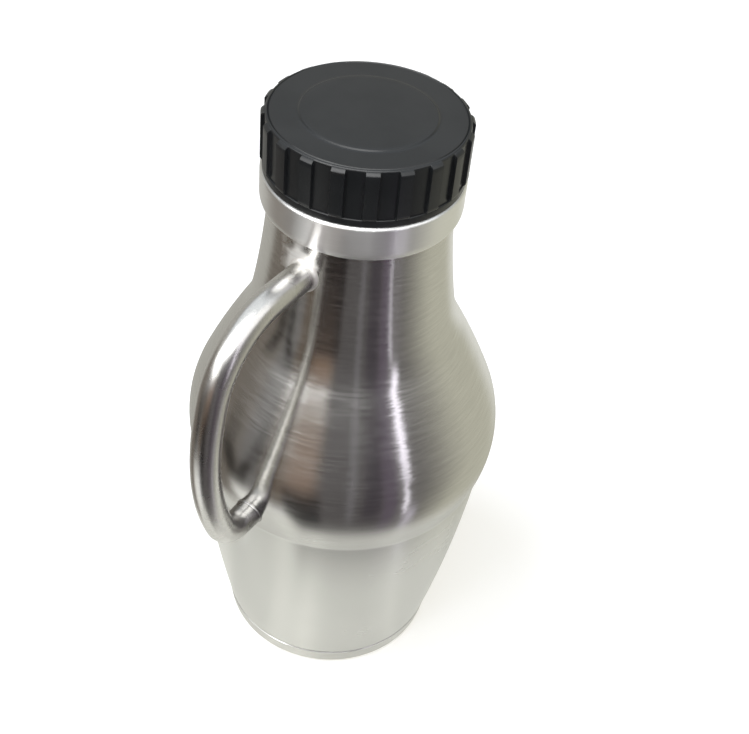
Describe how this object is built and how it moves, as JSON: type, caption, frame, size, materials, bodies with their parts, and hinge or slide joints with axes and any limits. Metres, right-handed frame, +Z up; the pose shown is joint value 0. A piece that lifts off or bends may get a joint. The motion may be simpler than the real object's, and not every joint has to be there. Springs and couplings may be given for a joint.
{
  "type": "insulated growler",
  "caption": "Insulated steel growler with a pear-shaped brushed body, bent tube handle, bright collar and black ribbed screw cap.",
  "frame": {"origin": "middle of the flat standing face, on the bottle's axis", "axes": "+Z up along the bottle's axis, the handle on the -X side in the XZ plane"},
  "size_m": [0.1718, 0.139, 0.2825],
  "materials": {
    "cap_plastic": "satin moulded black plastic",
    "collar_steel": "bright polished",
    "shell_steel": "fine brushing round the axis",
    "handle_steel": "satin polished along the tube",
    "base_steel": "fine brushing round the axis"
  },
  "bodies": {
    "root": {"base_cup": "base_steel", "lower_shell": "shell_steel", "upper_shell": "shell_steel", "collar": "collar_steel", "screw_cap": "cap_plastic", "handle": "handle_steel"}
  },
  "joints": []
}
